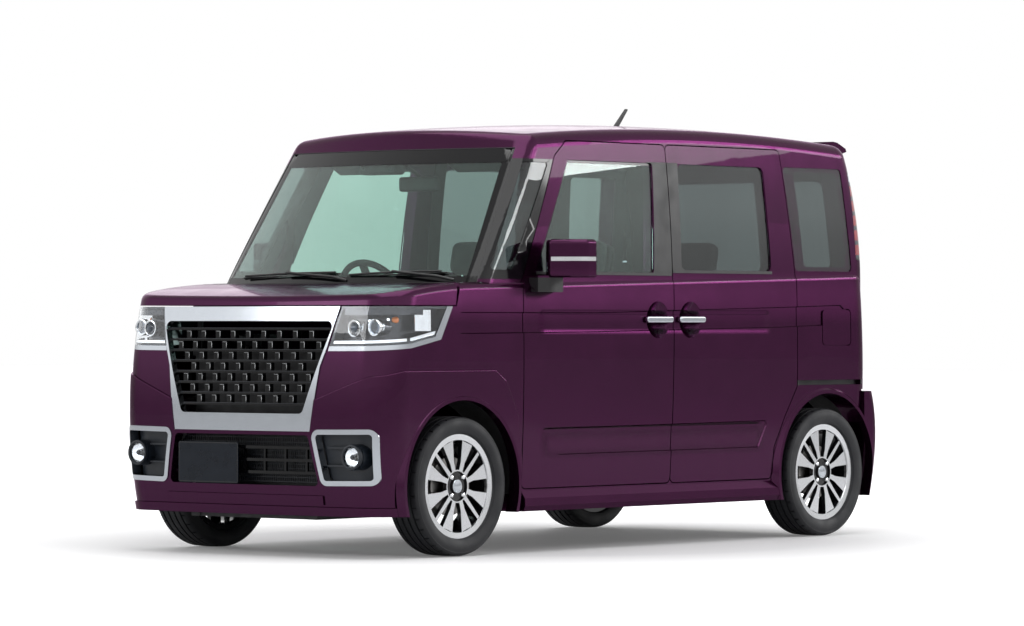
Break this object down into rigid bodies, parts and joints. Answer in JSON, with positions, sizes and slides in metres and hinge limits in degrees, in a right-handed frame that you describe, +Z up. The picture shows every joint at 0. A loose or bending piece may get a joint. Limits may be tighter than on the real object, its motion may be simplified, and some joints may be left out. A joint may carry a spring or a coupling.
{
  "type": "kei car",
  "caption": "Tall boxy kei car with hinged front doors, sliding rear doors, lifting tailgate and bonnet, steered front wheels and alloy wheels.",
  "frame": {"origin": "on the ground below the middle of the car", "axes": "+Z up, -Y forward, +X to the car's left"},
  "size_m": [1.85, 3.3962, 1.8759],
  "materials": {
    "body_paint": "deep plum pearl, clear coated",
    "black_trim": "grained black",
    "gloss_black": "polished black",
    "satin_chrome": "satin plated",
    "glazing": "green tinted",
    "privacy_glass": "dark tinted",
    "lamp_lens": "clear lens over bright reflectors",
    "tyre": "matt rubber",
    "alloy": "machined face, black pockets",
    "chassis": "dark coated steel",
    "castings": "rough cast",
    "cabin_plastic": "soft grained",
    "seat_cloth": "woven dark cloth",
    "interior_panel": "painted pressed steel"
  },
  "bodies": {
    "body": {"antenna": "black_trim", "arch_liners": "black_trim", "bulkhead": "interior_panel", "cowl": "black_trim", "dashboard": "cabin_plastic", "engine_block": "castings", "exhaust": "chassis", "fender_left": "body_paint", "fender_right": "body_paint", "floor_pan": "interior_panel", "fog_bezels": "satin_chrome", "fog_lamps": "gloss_black", "front_bumper": "body_paint", "front_plate": "black_trim", "front_seats": "seat_cloth", "front_subframe": "chassis", "fuel_tank": "chassis", "grille_surround": "satin_chrome", "grilles": "gloss_black", "headlamp_lenses": "lamp_lens", "headlamps": "gloss_black", "quarter_glass": "privacy_glass", "radiator": "chassis", "rear_axle": "chassis", "rear_bumper": "body_paint", "rear_seats": "seat_cloth", "roof": "body_paint", "side_frame_left": "body_paint", "side_frame_right": "body_paint", "sliding_door_glass": "privacy_glass", "sliding_door_left": "body_paint", "sliding_door_right": "body_paint", "strut_towers": "chassis", "tail_lamps": "lamp_lens", "windshield": "glazing"},
    "bonnet": {"bonnet": "body_paint"},
    "front_door_left": {"front_door_glass_left": "glazing", "front_door_left": "body_paint", "mirror_left": "body_paint"},
    "front_door_right": {"front_door_glass_right": "glazing", "front_door_right": "body_paint", "mirror_right": "body_paint"},
    "fuel_lid": {"fuel_lid": "body_paint"},
    "knuckle_left": {"knuckle_left": "castings"},
    "knuckle_right": {"knuckle_right": "castings"},
    "tailgate": {"spoiler": "body_paint", "tailgate": "body_paint", "tailgate_glass": "privacy_glass"},
    "steering_wheel": {"steering_wheel": "cabin_plastic"},
    "wheel_front_left": {"tyre_front_left": "tyre", "wheel_front_left": "alloy"},
    "wheel_front_right": {"tyre_front_right": "tyre", "wheel_front_right": "alloy"},
    "wheel_rear_left": {"tyre_rear_left": "tyre", "wheel_rear_left": "alloy"},
    "wheel_rear_right": {"tyre_rear_right": "tyre", "wheel_rear_right": "alloy"}
  },
  "joints": [
    {"name": "steer_left", "type": "hinge", "parent": "body", "child": "knuckle_left", "pos_m": [0.592, -1.17, 0.19], "axis": [-0.2101, 0, 0.9777], "range_deg": [-34, 34]},
    {"name": "front_wheel_left", "type": "hinge", "parent": "knuckle_left", "child": "wheel_front_left", "pos_m": [0.645, -1.17, 0.28], "axis": [1, 0, 0], "continuous": true},
    {"name": "rear_wheel_left", "type": "hinge", "parent": "body", "child": "wheel_rear_left", "pos_m": [0.645, 1.29, 0.28], "axis": [1, 0, 0], "continuous": true},
    {"name": "door_left", "type": "hinge", "parent": "body", "child": "front_door_left", "pos_m": [0.7295, -0.7875, 0.7], "axis": [0, 0, -1], "range_deg": [0, 66]},
    {"name": "steer_right", "type": "hinge", "parent": "body", "child": "knuckle_right", "pos_m": [-0.592, -1.17, 0.19], "axis": [0.2101, 0, 0.9777], "range_deg": [-34, 34]},
    {"name": "front_wheel_right", "type": "hinge", "parent": "knuckle_right", "child": "wheel_front_right", "pos_m": [-0.645, -1.17, 0.28], "axis": [1, 0, 0], "continuous": true},
    {"name": "rear_wheel_right", "type": "hinge", "parent": "body", "child": "wheel_rear_right", "pos_m": [-0.645, 1.29, 0.28], "axis": [1, 0, 0], "continuous": true},
    {"name": "door_right", "type": "hinge", "parent": "body", "child": "front_door_right", "pos_m": [-0.7295, -0.7875, 0.7], "axis": [0, 0, 1], "range_deg": [0, 66]},
    {"name": "bonnet_hinge", "type": "hinge", "parent": "body", "child": "bonnet", "pos_m": [0, -1.15, 1.11], "axis": [-1, 0, 0], "range_deg": [0, 55]},
    {"name": "tailgate_hinge", "type": "hinge", "parent": "body", "child": "tailgate", "pos_m": [0, 1.5595, 1.7365], "axis": [1, 0, 0], "range_deg": [0, 84]},
    {"name": "fuel_lid_hinge", "type": "hinge", "parent": "body", "child": "fuel_lid", "pos_m": [0.7295, 1.2585, 0.914], "axis": [0, 0, -1], "range_deg": [0, 100]},
    {"name": "steering_column", "type": "hinge", "parent": "body", "child": "steering_wheel", "pos_m": [-0.33, -0.5, 1.035], "axis": [0, 0.8829, 0.4695], "range_deg": [-544, 544]}
  ],
  "couplings": [
    {"joint": "steer_right", "follows": "steer_left", "ratio": 1},
    {"joint": "steering_column", "follows": "steer_left", "ratio": -16}
  ]
}
